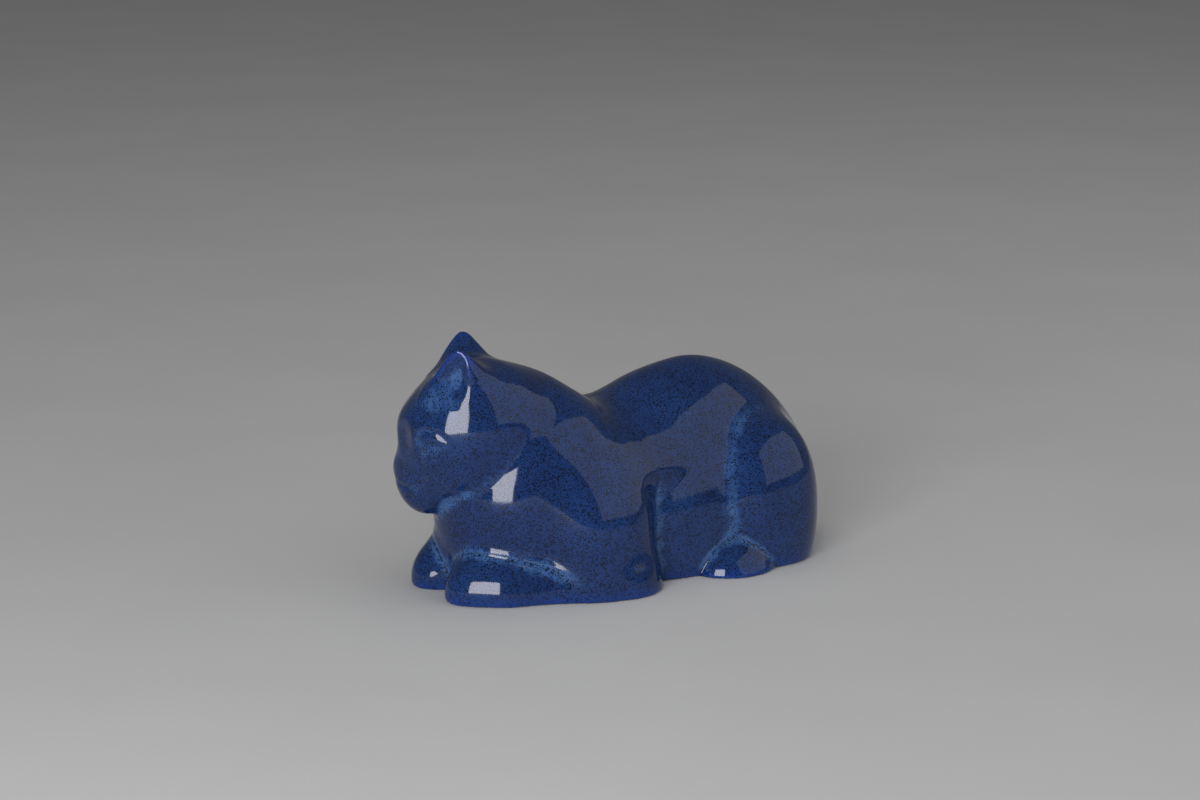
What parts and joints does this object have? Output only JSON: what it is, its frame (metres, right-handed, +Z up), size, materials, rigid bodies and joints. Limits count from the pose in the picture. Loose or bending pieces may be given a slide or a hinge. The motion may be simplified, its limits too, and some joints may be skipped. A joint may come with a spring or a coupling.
{
  "type": "cat-shaped funeral urn",
  "caption": "Hollow ceramic urn in the shape of a lying cat with its head turned aside, closed from below by a recessed stopper.",
  "frame": {"origin": "middle of the underside's bounding box, on the surface that the urn stands on", "axes": "+X from the cat's nose to its rump, -Y on the cat's left, +Z up"},
  "size_m": [0.2489, 0.1274, 0.1299],
  "materials": {
    "cobalt_glaze": "high-gloss cobalt blue glaze with dense fine dark speckles, milky in the creases, bare clay at the foot",
    "stopper_rubber": "matt dark moulded rubber"
  },
  "bodies": {
    "root": {"urn_body": "cobalt_glaze", "base_stopper": "stopper_rubber"}
  },
  "joints": []
}
